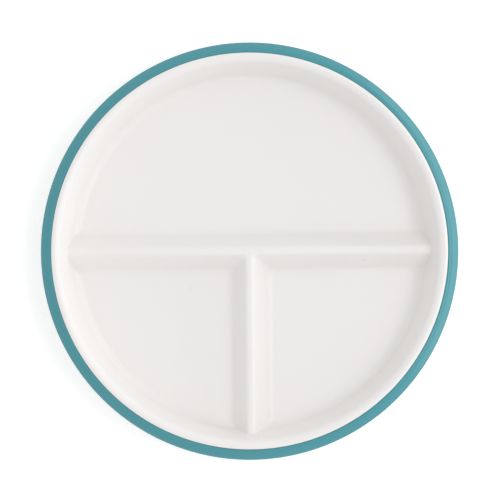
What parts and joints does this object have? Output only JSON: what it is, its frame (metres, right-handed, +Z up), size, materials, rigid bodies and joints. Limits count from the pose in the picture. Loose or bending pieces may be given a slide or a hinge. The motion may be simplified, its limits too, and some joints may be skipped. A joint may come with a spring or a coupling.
{
  "type": "divided plate",
  "caption": "Round divided plate: a moulded dish with a T-shaped divider and a sloped wall, a soft band round its lip and a non-slip ring under its foot.",
  "frame": {"origin": "centre of the foot ring's lower face, on the table", "axes": "+Z up; +Y towards the large compartment; the single divider runs towards -Y; +X to the right when the large compartment is at the far side"},
  "size_m": [0.203, 0.203, 0.026],
  "materials": {
    "white_moulding": "satin white moulded plastic",
    "teal_soft": "matte teal elastomer"
  },
  "bodies": {
    "root": {"dish": "white_moulding", "rim_band": "teal_soft", "foot_ring": "teal_soft"}
  },
  "joints": []
}
